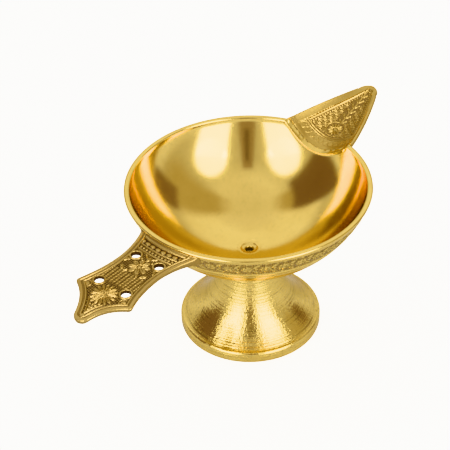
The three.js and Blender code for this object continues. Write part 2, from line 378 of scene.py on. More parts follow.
def band_relief(turn, drop):
    """Flowers and leaf pairs between two fine ridges, drop being the depth below the rim."""
    along = turn / (2 * np.pi) * BAND_MOTIFS
    pitch = 2 * np.pi * (RIM_R - 1.5) / BAND_MOTIFS
    middle = (BAND_TOP + BAND_FOOT) / 2
    y = drop - middle
    x = (along - np.floor(along) - 0.5) * pitch
    x_between = (along + 0.5 - np.floor(along + 0.5) - 0.5) * pitch
    motif = layered(
        flower(x, y, 8, 2.0, 0.5),
        leaf(x_between, y - 1.7, 0.75, 1.8, 0.6),
        leaf(x_between, y + 1.7, -0.75, 1.8, 0.6),
        dome(np.hypot(x_between, y), 0.5),
        dome(np.hypot(x, np.abs(y) - 2.9), 0.4),
        0.8 * beads(along * pitch, np.abs(y) - 3.2, 0.9, 0.3, 0.3),
        0.4 * stipple(x, y, 0.8),
    )
    inside = (drop > BAND_TOP + 0.55) & (drop < BAND_FOOT - 0.55)
    ridges = layered(
        plateau(drop - BAND_TOP - 0.25, 0.22),
        plateau(drop - BAND_FOOT + 0.2, 0.25),
        (drop < BAND_TOP - 0.1) * 1.0,
        (drop > BAND_FOOT + 0.35) * 1.0,
    )
    grooves = plateau(drop - BAND_FOOT - 1.3, 0.14) + plateau(drop - BAND_FOOT - 2.3, 0.14)
    return np.clip(np.where(inside, layered(motif, 0 * drop), ridges) - 0.7 * grooves, 0, 1)


def bowl_rows(turn):
    """The section as rows of radius and height at each angle, and which rows are the outer wall."""
    top_out, top_in = notch_top(BOWL_OUTER_R, turn), notch_top(BOWL_INNER_R, turn)
    lip = np.where(top_out < RIM_Z - 0.05, NOTCH_ROUND, LIP_ROUND)
    seat_r = BOSS_R + BOSS_FILLET * 0.8
    seat_z = sphere_z(BOWL_OUTER_R, seat_r)
    band_z = RIM_Z - BAND_FOOT - 3.2
    rows = []

    def add(r, z):
        rows.append((r + 0 * turn, z + 0 * turn))

    for r in (SHANK_R + SEAM, 6.0, BOSS_R - 0.5):
        add(r, BOSS_Z)
    fillet = bezier([(BOSS_R, BOSS_Z + 0.3), (BOSS_R, BOSS_Z + BOSS_FILLET), (seat_r, seat_z)], 8)
    for r, z in fillet:
        add(r, z)
    wall_start = len(rows)
    for r in np.linspace(seat_r, sphere_r(BOWL_OUTER_R, band_z), 22)[1:]:
        add(r, sphere_z(BOWL_OUTER_R, r))
    for t in np.linspace(0, 1, 46)[1:]:
        z = band_z + (top_out - lip - band_z) * t
        add(sphere_r(BOWL_OUTER_R, z), z)
    r_out, r_in = sphere_r(BOWL_OUTER_R, top_out - lip), sphere_r(BOWL_INNER_R, top_in - lip)
    for t in np.linspace(0, np.pi / 2, 5)[1:]:
        add(r_out - lip * (1 - math.cos(t)), top_out - lip * (1 - math.sin(t)))
    wall_end = len(rows)
    for t in (0.33, 0.67):
        add(r_out - lip + (r_in + 2 * lip - r_out) * t, top_out + (top_in - top_out) * t)
    for t in np.linspace(np.pi / 2, 0, 5)[:-1]:
        add(r_in + lip * (1 - math.cos(t)), top_in - lip * (1 - math.sin(t)))
    rim_angle = np.arcsin(r_in / BOWL_INNER_R)
    head_angle = math.asin((HEAD_R + SEAM) / BOWL_INNER_R)
    for t in np.linspace(0, 1, 34):
        angle = rim_angle + (head_angle - rim_angle) * t
        add(BOWL_INNER_R * np.sin(angle), BOWL_CENTRE_Z - BOWL_INNER_R * np.cos(angle))
    add(SHANK_R + SEAM, sphere_z(BOWL_INNER_R, HEAD_R) - HEAD_H)
    r, z = (np.array([row[i] for row in rows]) for i in (0, 1))
    outside = np.zeros(len(rows), bool)
    outside[wall_start:wall_end] = True
    return r, z, outside


def make_bowl(material):
    turn = np.linspace(0, 2 * np.pi, BOWL_SEGMENTS, endpoint=False)
    r, z, outside = bowl_rows(turn)
    relief = np.ones_like(r)
    relief[outside] = band_relief(np.broadcast_to(turn, r.shape)[outside], RIM_Z - z[outside])
    sink = BAND_DEPTH * (1 - relief)
    reach = np.hypot(r, BOWL_CENTRE_Z - z)
    r, z = r - sink * r / reach, z + sink * (BOWL_CENTRE_Z - z) / reach
    points = np.stack([r * np.cos(turn), r * np.sin(turn), z], 2)
    faces = grid_faces(len(r), BOWL_SEGMENTS, True, True)
    return make_piece("turned_bowl", "bowl", points, faces, material, relief)


# ---- foot, rivet and washer ----
def make_foot(material):
    plate_z = FOOT_TOP_Z - FOOT_PLATE
    inner_r = TRUMPET_R + FOOT_WALL
    centre = (TRUMPET_CENTRE_R, TRUMPET_CENTRE_Z)
    outer_end = math.pi + math.asin((TRUMPET_CENTRE_Z - FOOT_TOP_Z) / TRUMPET_R)
    inner_start = math.pi + math.asin((TRUMPET_CENTRE_Z - plate_z) / inner_r)
    inner_end = math.pi + math.acos((TRUMPET_CENTRE_R - RING_INNER_R) / inner_r)
    crease = (FLANGE_CREASE_R - 0.1, FLANGE_H + 0.15)
    path = joined(
        line((RING_INNER_R, 0.15), (RING_INNER_R + 0.2, 0), 2),
        line((RING_INNER_R + 0.4, 0), (FOOT_R - 0.7, 0), 5),
        bezier([(FOOT_R - 0.6, 0), (FOOT_R, 0), (FOOT_R, 0.7)], 6),
        line((FOOT_R, 0.9), (FOOT_R, FLANGE_H - 1.7), 6),
        bezier([(FOOT_R, FLANGE_H - 1.5), (FOOT_R, FLANGE_H - 0.2), (FOOT_R - 1.1, FLANGE_H)], 8),
        bezier([(FOOT_R - 1.15, FLANGE_H), (FLANGE_CREASE_R, FLANGE_H), crease], 4),
        arc(TRUMPET_R, math.pi + TRUMPET_START - 0.01, outer_end, 96, centre),
        line((8.4, FOOT_TOP_Z), (SHANK_R + SEAM, FOOT_TOP_Z), 5),
        line((SHANK_R + SEAM, plate_z), (9.2, plate_z), 5),
        arc(inner_r, inner_start, inner_end, 40, centre),
    )
    points, faces = lathe(path, FOOT_SEGMENTS, True)
    return make_piece("turned_foot", "foot", points, faces, material)


def make_rivet(material):
    floor_z = float(sphere_z(BOWL_INNER_R, 0.0))
    head_z = float(sphere_z(BOWL_INNER_R, HEAD_R))
    peen_top = WASHER_TOP_Z - WASHER_T - 0.02
    peen_low = peen_top - PEEN_H
    mark_z = float(sphere_z(BOWL_INNER_R, CENTRE_MARK_R))
    pilot_z = floor_z - CENTRE_MARK_DEPTH
    pilot_end = floor_z - PILOT_DEPTH
    path = joined(
        bezier([(0, peen_low), (PEEN_R, peen_low), (PEEN_R, peen_top - 0.2)], 16),
        (PEEN_R - 0.2, peen_top),
        (SHANK_R, peen_top),
        line((SHANK_R, peen_top + 0.3), (SHANK_R, head_z - HEAD_H), 6),
        (HEAD_R, head_z),
        [(r, float(sphere_z(BOWL_INNER_R, r))) for r in np.linspace(HEAD_R, CENTRE_MARK_R + 0.25, 6)],
        bezier([(CENTRE_MARK_R, mark_z), (CENTRE_MARK_R - 0.5, mark_z - 0.42), (2.0, mark_z - 0.5)], 8),
        bezier([(2.0, mark_z - 0.5), (PILOT_R, mark_z - 0.56), (PILOT_R, pilot_z - 0.2)], 8),
        line((PILOT_R, pilot_z - 0.3), (PILOT_R, pilot_end + 0.3), 3),
        bezier([(PILOT_R, pilot_end + 0.2), (PILOT_R, pilot_end), (0, pilot_end)], 5),
    )
    points, faces = lathe(path, SHANK_SEGMENTS, False)
    r, z = path[:, :1], path[:, 1:]
    # Patina with painted shade: the centre mark and pilot hole darken the nearer they come to the axis,
    # darkest at the bottom of the pit.
    pit_shade_level = np.clip(0.2 + (r - PILOT_R) / 1.6, 0, 0.62)
    wear_and_shade = np.where((r < CENTRE_MARK_R) & (z > BOSS_Z), pit_shade_level, 1.0)
    relief = wear_and_shade + np.zeros((1, SHANK_SEGMENTS))
    return make_piece("centre_rivet", "stem_rivet", points, faces, material, relief)


def make_washer(material):
    low, high = WASHER_TOP_Z - WASHER_T, WASHER_TOP_Z
    edge = 0.2
    path = joined(
        line((SHANK_R + SEAM, high), (SHANK_R + SEAM, low), 3),
        line((SHANK_R + 0.3, low), (WASHER_R - edge, low), 5),
        bezier([(WASHER_R - edge, low), (WASHER_R, low), (WASHER_R, low + edge)], 4),
        bezier([(WASHER_R, high - edge), (WASHER_R, high), (WASHER_R - edge, high)], 4),
        line((WASHER_R - edge, high), (SHANK_R + 0.3, high), 5),
    )
    points, faces = lathe(path, SHANK_SEGMENTS, True)
    return make_piece("clamp_washer", "washer", points, faces, material)


# ---- spout ----
def spout_relief(x, y, root):
    """Ovals along the root, a double rail, then diamonds round a rosette, inside a plain margin."""
    half = np.maximum(spout_half_width(x) - SPOUT_BORDER, 0.01)
    a = x - root
    margin = np.where(y > 0, 1.7, 0.5)
    edge = half - np.abs(y) - margin
    arc_length = y * 1.12
    ovals = beads(arc_length, a - 3.1, 2.3, 1.0, 1.2)
    root_band = 0.9 - 0.6 * plateau(ovals - 0.25, 0.2, 0.2)
    cell_a = ((a - LATTICE_START) / DIAMOND + y / DIAMOND) % 1 - 0.5
    cell_b = ((a - LATTICE_START) / DIAMOND - y / DIAMOND) % 1 - 0.5
    lattice = layered(
        0.75 * plateau((np.abs(cell_a) - 0.5) * DIAMOND, 0.16, 0.3),
        0.75 * plateau((np.abs(cell_b) - 0.5) * DIAMOND, 0.16, 0.3),
        dome(np.hypot(cell_a, cell_b), 0.2),
        0.8 * plateau(np.hypot(cell_a, cell_b) - 0.32, 0.035, 0.05),
    )
    stem = layered(
        0.9 * bump(y, 0.28),
        leaf((a % 2.6) - 1.3, np.abs(y) - 0.95, 0.7, 1.25, 0.45),
    ) * (a > STEM_START) * (np.abs(y) < 2.0)
    rosettes = layered(
        flower(a - ROSETTE_AT, y, 12, 2.9, 0.7),
        0.8 * plateau(np.hypot(a - ROSETTE_AT, y) - 3.35, 0.16),
    )
    clear = (np.hypot(a - ROSETTE_AT, y) > 3.6) & ((np.abs(y) > 2.2) | (a < STEM_START))
    field = layered(lattice * clear, stem, rosettes, 0.3 * stipple(a, y, 0.7))
    relief = np.where(a < ROOT_BAND_END, root_band, np.where(a > FIELD_START, field, 0))
    relief = layered(relief, plateau(a - 0.9, 0.8), plateau(a - 5.2, 0.25), plateau(a - 6.1, 0.25))
    inner_line = layered(plateau(edge - 0.75, 0.2), 0.85 * beads(a, edge - 1.45, 1.0, 0.36, 0.36))
    relief = np.where((edge < 1.9) & (a > 6.4), inner_line, relief)
    relief = np.where(edge < 0.35, 1, relief)
    return np.where(half < 2.6, np.maximum(relief, np.clip((2.6 - half) / 0.6, 0, 1)), relief)


def on_bowl(y, z):
    """Distance along X to the outside of the bowl at that y and z."""
    return np.sqrt(BOWL_OUTER_R**2 - y**2 - (BOWL_CENTRE_Z - z) ** 2)


def spout_top_z(x, y, half):
    """The upper surface, rounded over at its sides."""
    rounding = np.clip((np.abs(y) - half + SPOUT_EDGE) / SPOUT_EDGE, 0, 1)
    return trough_z(x, y) - SPOUT_EDGE * (1 - np.sqrt(1 - rounding**2))


def spout_low_z(x, y, half):
    """The underside, which flattens towards the nose."""
    edge = spout_edge_z(x) - SPOUT_EDGE - SPOUT_SIDE
    share = np.clip(1 - (y / np.maximum(half, 1e-3)) ** 2, 0, 1)
    depth = edge - np.minimum(trough_floor_z(x) - SPOUT_SKIN, edge - 0.6)
    fade = np.clip(half / 3.0, 0, 1)
    return edge - depth * share * fade


def spout_stations():
    """Places of the sections along the spout, closer together round the nose."""
    nose = SPOUT_NOSE_X + SPOUT_NOSE_R * np.sin(np.linspace(math.radians(24), math.pi / 2, 26))
    return np.r_[np.linspace(SPOUT_START, nose[0], 196)[:-1], nose]


def make_spout(material):
    side = np.linspace(0, 1, 8)[1:]
    trough_share = np.r_[-np.ones(7), np.linspace(-1, 1, SPOUT_ACROSS), np.ones(7)]
    border_share = np.r_[-side[::-1], np.zeros(SPOUT_ACROSS), side]
    stations = spout_stations()
    blend = np.clip(1 - (stations - SPOUT_START) / SPOUT_EASE, 0, 1)[:, None] ** 1.5

    def across(x):
        half = spout_half_width(x)
        flat = np.minimum(SPOUT_BORDER, half)
        return trough_share * (half - flat) + border_share * flat, half

    def settle(height):
        """Pulls the first stations back onto the bowl."""
        x = stations[:, None] + 0 * trough_share
        for _ in range(10):
            y, half = across(x)
            root = on_bowl(y[0], height(x, y, half)[0]) - ROOT_SINK
            x = stations[:, None] + (root - SPOUT_START) * blend
        return x, *across(x), root

    x_top, y_top, half, root = settle(spout_top_z)
    relief = spout_relief(x_top, y_top, root)
    z_top = spout_top_z(x_top, y_top, half)
    z_top = z_top - SPOUT_DEPTH * (1 - relief) * np.clip(half / 2.5, 0, 1)
    x_low, y_low, half_low, _ = settle(spout_low_z)
    z_low = spout_low_z(x_low, y_low, half_low)
    upper = np.stack([x_top, y_top, z_top], 2)
    lower = np.stack([x_low, y_low, z_low], 2)[:, ::-1]
    ring = np.concatenate([upper, lower[:, ::5], lower[:, -1:]], 1)
    lower_shape = (len(stations), ring.shape[1] - upper.shape[1])
    # Painted shade: the underside gets a half-dark relief level, so it takes part of the patina colour.
    level = np.concatenate([relief, np.full(lower_shape, SIDE_SHADE_LEVEL)], 1)
    faces = grid_faces(*ring.shape[:2], False, True)
    faces = np.concatenate([faces, bridge_cap(upper.shape[1], ring.shape[1])])
    return make_piece("spout_casting", "spout", ring, faces, material, level)


def bridge_cap(upper_count, ring_count):
    """Quads across the first ring of a casting, from its upper row to its lower row."""
    lower_count = ring_count - upper_count
    picks = np.linspace(0, lower_count - 1, upper_count).round().astype(int)
    low = ring_count - 1 - picks
    up = np.arange(upper_count)
    return np.stack([up[:-1], up[1:], low[1:], low[:-1]], 1)


# ---- handle ----
def handle_outline():
    """Half of the outline as (u, half-width), from the root to the tip."""
    u_barb, half_barb = HANDLE_BARB
    waist = HANDLE_WAIST
    barb_start = (u_barb - BARB_ROUND, half_barb - BARB_ROUND / 4)
    barb_end = (u_barb + BARB_ROUND / 2, half_barb - BARB_ROUND)
    tip_start = (HANDLE_REACH - 2, HANDLE_TIP_HALF)
    return joined(
        bezier([HANDLE_ROOT, HANDLE_ROOT_EASE, (HANDLE_WAIST_EASE_U, waist[1]), waist], 90),
        bezier([waist, (HANDLE_FLARE_U, waist[1]), barb_start], 90),
        bezier([barb_start, (u_barb, half_barb), barb_end], 12),
        bezier([barb_end, HANDLE_HOLLOW, tip_start], 80),
        bezier([tip_start, (HANDLE_REACH, HANDLE_TIP_HALF * 0.8), (HANDLE_REACH, 0)], 24),
    )


def distance_inside(u, v, outline):
    """Distance to the nearest side of the outline, in blocks so that it stays small in memory."""
    flat_u, flat_v = u.ravel(), np.abs(v).ravel()
    found = np.empty_like(flat_u)
    for i in range(0, len(flat_u), BLOCK):
        du = flat_u[i : i + BLOCK, None] - outline[:, 0]
        dv = flat_v[i : i + BLOCK, None] - outline[:, 1]
        found[i : i + BLOCK] = np.sqrt((du**2 + dv**2).min(1))
    return found.reshape(u.shape)


def root_rows(u, v, rim):
    """Two rows of beads between fine ridges, along the bowl."""
    arc_length = np.arctan2(v, u) * (RIM_R + 2)
    return layered(
        plateau(rim - 0.2, 0.6),
        beads(arc_length, rim - 2.0, 2.3, 1.0, 0.75),
        plateau(rim - 3.3, 0.28),
        0.9 * beads(arc_length + 0.6, rim - 4.35, 1.25, 0.5, 0.5),
        plateau(rim - 5.4, 0.28),
    )


def blossom_and_leaves(u, v):
    """An eight-petalled flower, with leaves and small bosses in the corners round it."""
    blossom = flower(u - BLOSSOM_AT[0], v - BLOSSOM_AT[1], 8, 4.0, 0.75, 0.39)
    return layered(
        blossom,
        leaf(u - 49.6, v, 0.0, 1.5, 0.7),
        leaf(u - 57.2, np.abs(v) - 4.4, 2.45, 1.5, 0.7),
        dome(np.hypot(u - 52.8, np.abs(v) - 5.3), 0.55),
        dome(np.hypot(u - 50.3, np.abs(v) - 2.2), 0.45),
        leaf(u - 48.6, np.abs(v) - 1.6, -0.9, 1.2, 0.45),
        leaf(u - 53.6, np.abs(v) - 5.9, 0.15, 1.3, 0.45),
        leaf(u - 57.9, np.abs(v) - 2.4, 0.5, 1.1, 0.42),
        0.9 * bump(v, 0.3) * plateau(u - 59.2, 1.2, 0.3),
    )


def roped_flutes(u, v):
    flute = 0.5 + 0.5 * np.cos(2 * np.pi * v / 1.3)
    notch = 0.68 + 0.32 * np.cos(2 * np.pi * (u + 0.7 * v) / 1.0)
    return flute * notch * plateau(u - FLUTES_AT, 3.4, 0.5)


def daisy_and_bosses(u, v):
    """A flower of many petals, with a ringed boss on each side of it."""
    x, y = u - DAISY_AT[0], v - DAISY_AT[1]
    from_boss = np.hypot(u - SIDE_BOSS[0], np.abs(v) - SIDE_BOSS[1])
    return layered(
        flower(x, y, 16, 4.9, 0.1),
        flower(x, y, 8, 2.1, 0.55) * 0.95,
        dome(from_boss, 0.95),
        0.8 * plateau(from_boss - 1.45, 0.18),
        dome(np.hypot(u - 73.2, np.abs(v) - 5.0), 0.5),
    )


def tip_rows(u, v, edge):
    """A rail, beads and a notched stem that run to the tip."""
    stem = 0.9 * bump(v, 0.35) * (np.cos(2 * np.pi * u / 1.6) * 0.35 + 0.65)
    rows = layered(plateau(edge - 3.1, 0.2), 0.95 * beads(u, edge - 3.8, 1.05, 0.42, 0.42), stem)
    return rows * np.clip((u - TIP_START) / 0.4, 0, 1)


def hole_collars(u, v):
    """The raised collars round the holes, and the ground that they leave open to other ornament."""
    collars = 0 * u
    open_ground = 1.0 + 0 * u
    for hole_u, hole_v in HOLES:
        reach = np.hypot(u - hole_u, np.abs(v) - hole_v)
        collars = np.maximum(collars, plateau(reach - HOLE_R - 0.3, 0.32, 0.2))
        open_ground = np.minimum(open_ground, np.clip((reach - HOLE_R - 0.6) / 0.2, 0, 1))
    return collars, open_ground


def handle_relief(u, v, edge):
    """Border rails, and the ornament in the field that they enclose."""
    rim = np.hypot(u, v) - RIM_R
    rails = layered(
        plateau(edge, 1.25),
        0.9 * plateau(edge - 2.05, 0.3),
        0.3 * plateau(edge - 1.6, 0.5),
    )
    field = layered(
        blossom_and_leaves(u, v),
        roped_flutes(u, v),
        daisy_and_bosses(u, v),
        tip_rows(u, v, edge),
        0.45 * stipple(u, v, 0.75),
    )
    field = np.where(rim < ROOT_ROWS_END, root_rows(u, v, rim), field)
    collars, open_ground = hole_collars(u, v)
    field = np.where(edge > BORDER_WIDTH, field * open_ground, 0)
    tip_bead = dome(np.hypot(u - (HANDLE_REACH - 2.0), v), 0.95)
    return layered(field, rails, collars, tip_bead)


def handle_top_z(u):
    """The plate's top before relief: level, then drooping to the tip."""
    droop = np.clip((u - DROOP_START) / (HANDLE_REACH - DROOP_START), 0, 1)
    return HANDLE_TOP_Z - HANDLE_DROOP * droop**2


def handle_low_z(u):
    """The plate's underside, thicker towards the bowl."""
    rise = np.clip((u - RIM_R + 1) / (HANDLE_WAIST[0] - RIM_R + 1), 0, 1)
    return handle_top_z(u) - HANDLE_ROOT_DEPTH + (HANDLE_ROOT_DEPTH - HANDLE_T) * np.sqrt(rise)


def handle_rounding(v, half):
    """How far the plate's faces fall away where its sides are rounded over."""
    past = np.clip((np.abs(v) - half + HANDLE_EDGE) / HANDLE_EDGE, 0, 1)
    return HANDLE_EDGE * (1 - np.sqrt(1 - past**2)) * np.clip(half / HANDLE_EDGE, 0, 1)


def handle_stations(outline):
    """Places of the sections along the handle, evenly spaced along its outline."""
    walk = outline[outline[:, 0] > HANDLE_START]
    length = np.r_[0, np.cumsum(np.hypot(*np.diff(walk, axis=0).T))]
    stations = np.interp(np.linspace(0, length[-1], 372), length, walk[:, 0])
    stations[-1] = HANDLE_REACH
    return stations


def make_handle(material):
    outline = handle_outline()
    top_share = np.sin(np.linspace(-1, 1, 215) * math.pi / 2 * 0.9) / math.sin(math.pi / 2 * 0.9)
    low_share = np.sin(np.linspace(-1, 1, 31) * math.pi / 2)[::-1]
    stations = handle_stations(outline)
    blend = np.clip(1 - (stations - HANDLE_START) / HANDLE_EASE, 0, 1)[:, None] ** 1.5

    def half_at(u):
        return np.interp(u, outline[:, 0], outline[:, 1])

    def settle(share, surface):
        """Pulls the first stations back onto the bowl."""
        u = stations[:, None] + 0 * share
        for _ in range(10):
            half = half_at(u)
            v = share * half
            root = on_bowl(v[0], surface(u)[0]) - ROOT_SINK
            u = stations[:, None] + (root - HANDLE_START) * blend
        half = half_at(u)
        return u, share * half, half

    u, v, half = settle(top_share, handle_top_z)
    edge = distance_inside(u, v, outline)
    relief = handle_relief(u, v, edge)
    fillet = np.clip(1 - (np.hypot(u, v) - on_bowl(0, HANDLE_TOP_Z)) / BRAZE_REACH, 0, 1) ** 2
    z = handle_top_z(u) - handle_rounding(v, half) - HANDLE_DEPTH * (1 - relief) + BRAZE_RISE * fillet
    u_low, v_low, half_low = settle(low_share, handle_low_z)
    z_low = handle_low_z(u_low) + handle_rounding(v_low, half_low)
    upper = np.stack([-u, -v, z], 2)
    lower = np.stack([-u_low, -v_low, z_low], 2)
    ring = np.concatenate([upper, lower], 1)
    # Painted shade: the rounded sides and the underside get a half-dark relief level, so they take part
    # of the patina colour.
    relief[:, [0, 1, -2, -1]] = SIDE_SHADE_LEVEL
    depth = np.concatenate([relief, np.full(lower.shape[:2], SIDE_SHADE_LEVEL)], 1)
    faces = grid_faces(*ring.shape[:2], False, True)
    faces = np.concatenate([faces, bridge_cap(upper.shape[1], ring.shape[1])])
    piece = make_piece("handle_casting", "handle", ring, faces, material, depth)
    places = [(-hole_u, side * hole_v) for hole_u, hole_v in HOLES for side in (-1, 1)]
    drill(piece, places, HOLE_R, HANDLE_TOP_Z)
    return piece


# ---- materials ----
EDGE_TINT = (1.0, 0.84, 0.5, 1)  # keeps the metal gold at grazing angles
GRAIN_BUMP = 0.00002  # depths in metres
RIPPLE_BUMP = 0.0002
TURNING_BUMP = 0.0003
CHATTER_BUMP = 0.00014

# Clean metal, deeper metal, and the patina in the recesses
POLISHED = dict(bright=(0.80, 0.595, 0.185), deep=(0.72, 0.52, 0.15))
BOWL_PATINA = (0.24, 0.14, 0.042)
# This dark colour stands for patina and for painted shade in the rivet's centre pit.
RIVET_PATINA_AND_SHADE = (0.10, 0.05, 0.012)
WASHER_TONES = dict(bright=(0.62, 0.44, 0.18), deep=(0.5, 0.33, 0.12))
SPOUT_TONES = dict(
    bright=(0.60, 0.425, 0.135),
    deep=(0.50, 0.34, 0.09),
    patina=(0.23, 0.135, 0.042),
)
HANDLE_TONES = dict(
    bright=(0.51, 0.36, 0.125),
    deep=(0.41, 0.27, 0.08),
    patina=(0.065, 0.028, 0.01),
)
CAST_LACQUER = 0.4


class Nodes:
    """A small writer for node trees."""

    def __init__(self, tree):
        self.tree = tree
        tree.nodes.clear()

    def add(self, kind, **settings):
        node = self.tree.nodes.new("ShaderNode" + kind)
        for name, value in settings.items():
            setattr(node, name, value)
        return node

    def link(self, source, target):
        self.tree.links.new(source, target)

    def math(self, operation, a, b=0.0, clamp=False):
        node = self.add("Math", operation=operation, use_clamp=clamp)
        for socket, value in zip(node.inputs, (a, b)):
            if isinstance(value, (int, float)):
                socket.default_value = value
            else:
                self.link(value, socket)
        return node.outputs[0]

    def noise(self, vector, scale, detail=3.0, roughness=0.5, distortion=0.0):
        node = self.add("TexNoise")
        for name, value in (
            ("Scale", scale),
            ("Detail", detail),
            ("Roughness", roughness),
            ("Distortion", distortion),
        ):
            node.inputs[name].default_value = value
        self.link(vector, node.inputs["Vector"])
        return node.outputs["Fac"]

    def ramp(self, source, stops):
        node = self.add("ValToRGB")
        elements = node.color_ramp.elements
        while len(elements) < len(stops):
            elements.new(0.5)
        for element, (place, colour) in zip(elements, stops):
            element.position = place
            element.color = (*colour, 1) if len(colour) == 3 else colour
        self.link(source, node.inputs[0])
        return node.outputs[0]

    def spread(self, source, low, high, start=0.0, end=1.0):
        node = self.add("MapRange")
        for socket, value in zip(node.inputs[1:5], (start, end, low, high)):
            socket.default_value = value
        self.link(source, node.inputs[0])
        return node.outputs[0]

    def mix(self, factor, a, b, blend="MIX"):
        node = self.add("Mix", data_type="RGBA", blend_type=blend)
        for socket, value in ((node.inputs[0], factor), (node.inputs[6], a), (node.inputs[7], b)):
            if isinstance(value, (int, float)):
                socket.default_value = value
            elif isinstance(value, tuple):
                socket.default_value = (*value, 1)
            else:
                self.link(value, socket)
        return node.outputs[2]

    def bump(self, height, strength, distance, normal=None):
        node = self.add("Bump")
        node.inputs["Strength"].default_value = strength
        node.inputs["Distance"].default_value = distance
        self.link(height, node.inputs["Height"])
        if normal is not None:
            self.link(normal, node.inputs["Normal"])
        return node.outputs["Normal"]


def axis_coordinates(nodes):
    """Position from the turning axis, then the radius and height there."""
    shift = nodes.add("VectorMath", operation="SUBTRACT")
    shift.inputs[1].default_value = AXIS
    nodes.link(nodes.add("NewGeometry").outputs["Position"], shift.inputs[0])
    parts = nodes.add("SeparateXYZ")
    nodes.link(shift.outputs[0], parts.inputs[0])
    x_squared = nodes.math("POWER", parts.outputs[0], 2)
    y_squared = nodes.math("POWER", parts.outputs[1], 2)
    radius = nodes.math("SQRT", nodes.math("ADD", x_squared, y_squared))
    return shift.outputs[0], radius, parts.outputs[2]


def darker(share, colour):
    return tuple(share * channel for channel in colour)


def add_patina(nodes, position, colour, rough, tones, matte):
    """Darkens and dulls the metal where the relief is low. Returns the new colour and roughness."""
    bright, deep, patina = tones
    level = nodes.add("Attribute", attribute_name="relief").outputs["Fac"]
    uneven = nodes.spread(nodes.noise(position, 700, 2, 0.6), -0.16, 0.16)
    wear_and_shade = nodes.math("ADD", level, uneven, True)
    half_worn = tuple((p + d) / 2 for p, d in zip(patina, deep))
    shade = nodes.ramp(wear_and_shade, [(0.0, patina), (0.4, half_worn), (0.8, bright)])
    keep = nodes.spread(wear_and_shade, 0.0, 1.0, 0.1, 0.85)
    colour = nodes.mix(keep, shade, colour)
    rough = nodes.math("ADD", rough, nodes.spread(wear_and_shade, matte, 0.0, 0.05, 0.8))
    return colour, rough


def add_turning(nodes, radius, height, strength, pitch, normal):
    """Fine lathe lines round the axis. Returns their noise and the new normal."""
    along = nodes.math("ADD", radius, nodes.math("MULTIPLY", height, 0.8))
    combined = nodes.add("CombineXYZ")
    nodes.link(along, combined.inputs[0])
    rings = nodes.noise(combined.outputs[0], pitch, 4, 0.7)
    return rings, nodes.bump(rings, strength, TURNING_BUMP, normal)


def add_chatter(nodes, coordinates, rings, strength, normal):
    """Short marks along the cut, and dark broken lines. Returns the lines and the new normal."""
    position, radius, height = coordinates
    parts = nodes.add("SeparateXYZ")
    nodes.link(position, parts.inputs[0])
    angle = nodes.math("ARCTAN2", parts.outputs[1], parts.outputs[0])
    combined = nodes.add("CombineXYZ")
    nodes.link(nodes.math("MULTIPLY", angle, 0.022), combined.inputs[0])
    nodes.link(nodes.math("MULTIPLY", height, 0.9), combined.inputs[1])
    nodes.link(nodes.math("MULTIPLY", radius, 0.9), combined.inputs[2])
    marks = nodes.noise(combined.outputs[0], 900, 3, 0.6)
    normal = nodes.bump(marks, strength, CHATTER_BUMP, normal)
    ring_lines = nodes.spread(rings, 0.0, 0.85, 0.54, 0.61)
    broken = nodes.spread(nodes.noise(position, 170, 3, 0.6), 0.12, 1.0, 0.44, 0.56)
    ring_lines = nodes.math("MULTIPLY", ring_lines, broken)
    cross_lines = nodes.spread(marks, 0.0, 0.45, 0.58, 0.68)
    return nodes.math("MAXIMUM", ring_lines, cross_lines), normal


def start_brass(name, gloss, lacquer):
    """A lacquered metal shader on an otherwise empty node tree."""
    material = bpy.data.materials.new(name)
    material.use_nodes = True
    nodes = Nodes(material.node_tree)
    out = nodes.add("OutputMaterial")
    shader = nodes.add("BsdfPrincipled")
    nodes.link(shader.outputs[0], out.inputs[0])
    shader.inputs["Metallic"].default_value = 1.0
    shader.inputs["Specular Tint"].default_value = EDGE_TINT
    shader.inputs["Coat Weight"].default_value = lacquer
    shader.inputs["Coat Roughness"].default_value = gloss
    return material, nodes, shader


def brass(
    name,
    bright,
    deep,
    gloss,
    patina=None,
    turning=0.0,
    pitch=1400,
    grain=0.3,
    ripple=0.0,
    chatter=0.0,
    lacquer=0.45,
    matte=0.34,
):
    """Two tones in clouds, fine marks in the gloss, and lathe lines or patina where asked.

    Chatter needs turning as well, because its dark lines follow the lathe lines.
    """
    material, nodes, shader = start_brass(name, gloss, lacquer)
    position, radius, height = axis_coordinates(nodes)
    clouds = nodes.noise(position, 55, 4, 0.6)
    specks = nodes.noise(position, 900, 3, 0.65)
    colour = nodes.mix(nodes.spread(clouds, 0.0, 1.0, 0.35, 0.68), bright, deep)
    colour = nodes.mix(nodes.spread(specks, 0.0, 0.22, 0.55, 0.8), colour, darker(0.55, deep))
    rough = nodes.spread(clouds, gloss * 0.85, gloss * 1.2, 0.35, 0.68)
    if patina is not None:
        colour, rough = add_patina(nodes, position, colour, rough, (bright, deep, patina), matte)
    nodes.link(rough, shader.inputs["Roughness"])
    normal = nodes.bump(nodes.noise(position, 1500, 3, 0.6), grain, GRAIN_BUMP)
    if ripple:
        normal = nodes.bump(nodes.noise(position, 120, 2, 0.5), ripple, RIPPLE_BUMP, normal)
    if turning:
        rings, normal = add_turning(nodes, radius, height, turning, pitch, normal)
    if chatter:
        coordinates = (position, radius, height)
        scored, normal = add_chatter(nodes, coordinates, rings, chatter, normal)
        colour = nodes.mix(scored, colour, darker(0.45, deep))
    nodes.link(colour, shader.inputs["Base Color"])
    nodes.link(normal, shader.inputs["Normal"])
    return material


